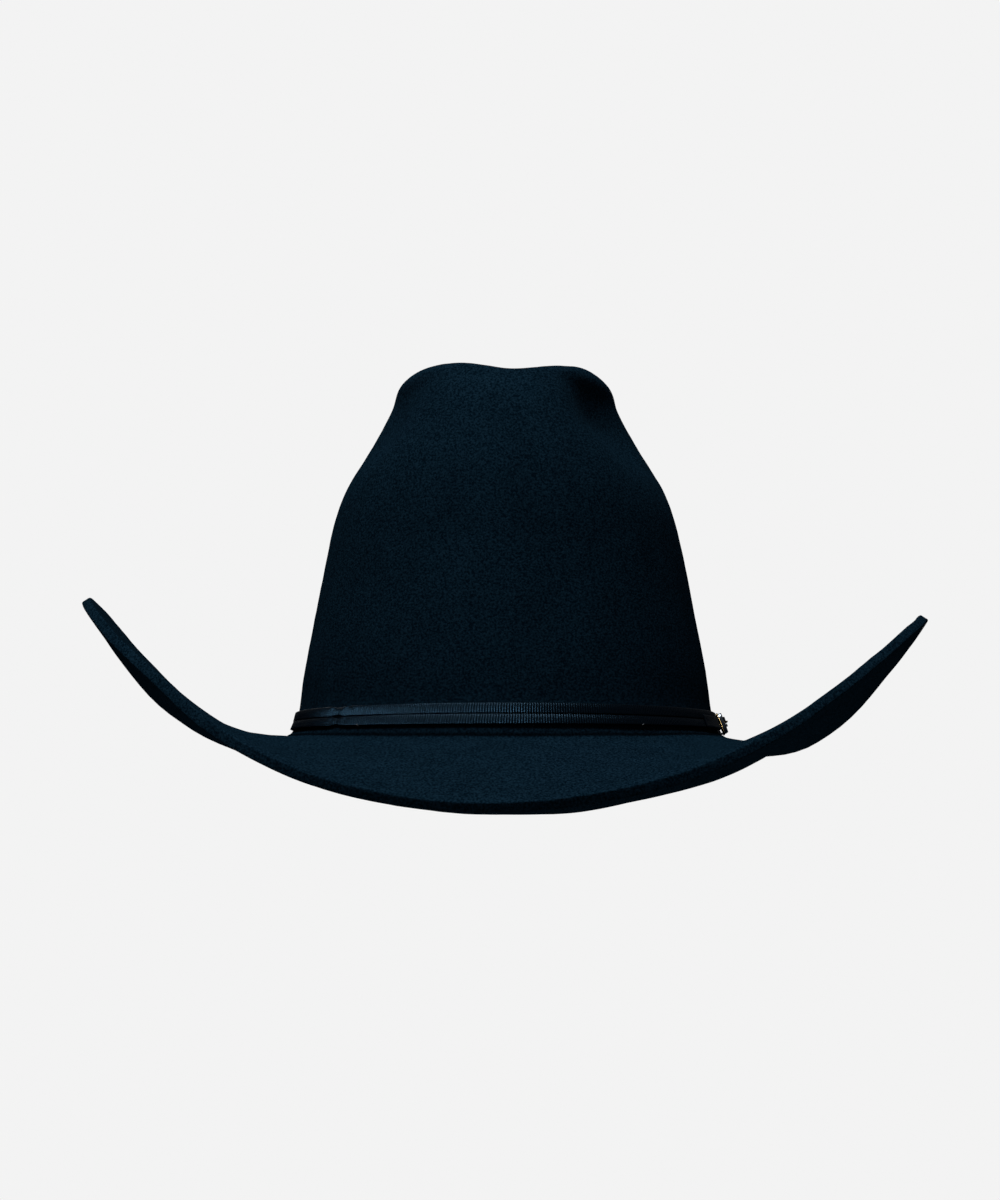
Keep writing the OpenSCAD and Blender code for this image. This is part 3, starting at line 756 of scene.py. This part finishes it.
def prong_line(count):
    """The prong's middle from its eye to its tip, bent down a little at the end."""
    tilt = math.atan((FRAME_IN + FRAME_T + PRONG_R + PRONG_GAP - BAR_O) / PRONG_REACH)
    d = np.array([math.sin(tilt), -math.cos(tilt), 0])
    q = np.array([BAR_O, BAR_Y, 0]) + np.linspace(.9, 12.4, count)[:, None] * d
    q[:, 0] -= .18 * np.linspace(0, 1, count) ** 4
    return q


PRONG_POINTS = 28
line = prong_line(PRONG_POINTS)
share = np.linspace(0, 1, PRONG_POINTS)
radii = (.56 - .12 * share) * np.sqrt(np.clip((1 - share) / .045, 0.05, 1))
pts, faces = lathe(collar(1.15, .66, -.75, .75, .16), (BAR_O, BAR_Y), 40)
crisp(joined("buckle_prong", [strand(placed(buckle_at, line), radii * MM, 18),
             (placed(buckle_at, pts), faces)], gold_mat, body="prong", slot="gold",
             stands_for=["buckle_prong"]))

# The keeper: a loop round the strap, its outer face crowned between two beads.
ring_out = round_rect(1.175, 4.1, .7, middle=(2.875, 0))
ring_in = round_rect(.7, 3.3, .25, middle=(2.7, 0))
section = [(-1.45, 0), (-1.6, .15), (-1.6, .8), (-1.42, 1), (-1.2, 1), (-1.05, .82), (-.5, .9),
           (0, .94), (.5, .9), (1.05, .82), (1.2, 1), (1.42, 1), (1.6, .8), (1.6, .15), (1.45, 0)]
pts = np.concatenate([np.insert(ring_in + (ring_out - ring_in) * k, 1, y, axis=1)
                      for y, k in section])
faces = grid_faces(len(section), len(ring_out), True, True)
crisp(joined("keeper", [(placed(keeper_at, pts), faces)], silver_mat, body="keeper", slot="silver",
             stands_for=["keeper_loop"]))

# The tip: a hollow tongue over the strap's end, round at its far end.
TIP_HALF, TIP_BEND = 3.55, 6     # its half width, and the place where its round end starts


def tip_ring(y, shrink, inside):
    half = math.sqrt(max(TIP_HALF ** 2 - max(0, y - TIP_BEND) ** 2, .01))
    if inside:
        loop = round_rect(.425, 3.2 * half / TIP_HALF, .2, middle=(3.025, 0))
    else:
        loop = round_rect(.8 * shrink, max(half, .81 * shrink), min(.5, .79 * shrink),
                          middle=(3.1, 0))
        crown = np.clip(1 - (loop[:, 1] / max(half, .1)) ** 2, 0, 1)
        loop[:, 0] += np.where(loop[:, 0] > 3.1, -.16 * (1 - crown), 0)
    return np.insert(loop, 1, y, axis=1)


rings = [tip_ring(y, 1, True) for y in np.linspace(5.6, -2.95, 12)]
rings += [tip_ring(-3.0, .86, False)] + [tip_ring(y, 1, False) for y in np.linspace(-2.85, TIP_BEND, 18)]
rings += [tip_ring(TIP_BEND + 3.53 * math.sin(a), 1 - .35 * max(0, a - 1.1), False)
          for a in np.linspace(.1, 1.55, 18)]
pts = np.concatenate(rings)
m, n = len(rings), len(rings[0])
faces = grid_faces(m, n, False, True) + [list(range(n)), [(m - 1) * n + k for k in range(n)][::-1]]
crisp(joined("strap_tip", [(placed(tip_at, pts), faces)], silver_mat, slot="silver",
             stands_for=["strap_tip"]))
joined("tip_scrolls", [scroll(tip_at, (y, z), .75, k, 3.83) for y, z, k in (
       (-1.2, 1.2, 1), (-1.2, -1.2, -1), (1.6, 1.4, -1), (1.6, -1.4, 1), (4.4, 1.2, 1),
       (4.4, -1.2, -1), (6.9, 0, 1))], silver_mat, slot="silver")
ROPE_O, ROPE_HALF, ROPE_START = 3.75, 3.2, -2.7
arc = [(ROPE_O, TIP_BEND + ROPE_HALF * math.cos(a), ROPE_HALF * math.sin(a))
       for a in np.linspace(math.pi / 2, -math.pi / 2, 40)]
joined("tip_rope", rope([(ROPE_O, ROPE_START, ROPE_HALF)] + arc + [(ROPE_O, ROPE_START, -ROPE_HALF)],
       tip_at, .26), gold_mat, slot="gold")

# ---------------------------------------------------------------- back tape and bow

tape_t, tape_v = np.linspace(177.8, 182.2, 45), np.linspace(10.2, 12.3, 90)
weave = .035 * np.cos(np.arange(len(tape_v)) * 1.9)[:, None] * np.cos(np.arange(len(tape_t)) * .9)
front = np.stack([wall(tape_t, v, -5.5) for v in tape_v])
back = np.stack([wall(tape_t, v, -5.74 - w) for v, w in zip(tape_v, weave)])
joined("back_tape", [plate(front, back)], tape_mat, slot="tape", stands_for=["sweatband_back_tape"])
joined("back_tape_stitches", [strand(wall(t, np.linspace(v, v + .07, 5), -5.76 - .14 * np.sin(
       np.linspace(0, math.pi, 5))), bulge[1:6] * .6, 6)
       for t in (178.15, 181.85) for v in np.arange(10.25, 12.2, .115)], thread_mat, slot="thread")

bow_at = on_wall(180, 10.2)
BOW_X = -5.8 - 1.6


def bow_loop(side):
    """One loop of the bow, drawn in towards the knot."""
    a = np.linspace(-math.pi, math.pi, 61)
    far = (1 + np.cos(a)) / 2
    y = side * (1.0 + 7.0 * far)
    x = BOW_X + 1.42 * np.sin(a) * far ** .35
    d = unit(np.stack([np.gradient(x), np.gradient(y)], -1))
    nx, ny = -d[:, 1], d[:, 0]
    faces = []
    for off in (.15, -.15):
        grid = []
        for k in np.linspace(-1, 1, 13):
            z = k * 2.2 * (.52 + .48 * far ** .5) + .12 * far * math.cos(k * 2)
            pinch = .22 * math.cos(k * 9) * (1 - far) ** 2
            grid.append(np.stack([x + off * nx + pinch, y + off * ny, z], -1))
        faces.append(placed(bow_at, np.stack(grid)))
    return plate(*(faces if side > 0 else faces[::-1]))


joined("bow_loops", [bow_loop(1), bow_loop(-1)], tape_mat, slot="tape", stands_for=["bow_loops"])

rings = []
KNOT_RINGS = 25
for k in np.linspace(-1, 1, KNOT_RINGS):
    tuck = 1 - .3 * abs(k) ** 6 + .035 * math.cos(k * 14)
    loop = round_rect(1.3 * tuck, 2.4 * (1 - .1 * k * k) * tuck, 1.1 * tuck, 8, (BOW_X, 0))
    rings.append(np.insert(loop, 1, 1.6 * k, axis=1))
n = len(rings[0])
faces = grid_faces(KNOT_RINGS, n, False, True)
faces += [list(range(n)), [(KNOT_RINGS - 1) * n + k for k in range(n)][::-1]]
joined("bow_knot", [(placed(bow_at, np.concatenate(rings)), faces)], tape_mat, slot="tape",
       stands_for=["bow_knot"])


def bow_tail(side):
    """One end of the bow, cut to a swallow tail."""
    lean = math.radians(24 * side)
    c, s = math.cos(lean), math.sin(lean)
    grids = []
    for off in (-.16, .16):
        grid = []
        for k in np.linspace(0, 1, 40):
            y = np.linspace(-1.6, 1.6, 17) * (.62 + .38 * step(0, .35, k))
            z = -.4 - (7.6 - 1.0 * (1 - abs(y) / 1.6)) * k
            x = -6.3 + .12 * math.sin(k * 5 + side) + .08 * np.cos(y * 1.7) + off
            grid.append(np.stack([x, y * c - z * s, y * s + z * c - 2.8], -1))
        grids.append(placed(bow_at, np.stack(grid)))
    return plate(*grids)


joined("bow_tails", [bow_tail(1), bow_tail(-1)], tape_mat, slot="tape", stands_for=["bow_tails"])

# ---------------------------------------------------------------- the bar stays as in the CAD

bar_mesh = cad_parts["buckle_bar"].data
bar_mesh.materials.clear()
bar_mesh.materials.append(silver_mat)

# ---------------------------------------------------------------- stage

floor_mat = material("floor", (.9, .9, .9), .9)
floor_mesh = bpy.data.meshes.new("floor")
floor_mesh.from_pydata([(FLOOR_R * math.cos(a), FLOOR_R * math.sin(a), FLOOR_Z)
                        for a in np.linspace(0, 2 * math.pi, FLOOR_SIDES + 1)[:-1]], [],
                       [list(range(FLOOR_SIDES))])
floor_mesh.materials.append(floor_mat)
floor = bpy.data.objects.new("floor", floor_mesh)
scene.collection.objects.link(floor)
floor.visible_diffuse = False    # its own bounce would light the underside of the brim too much
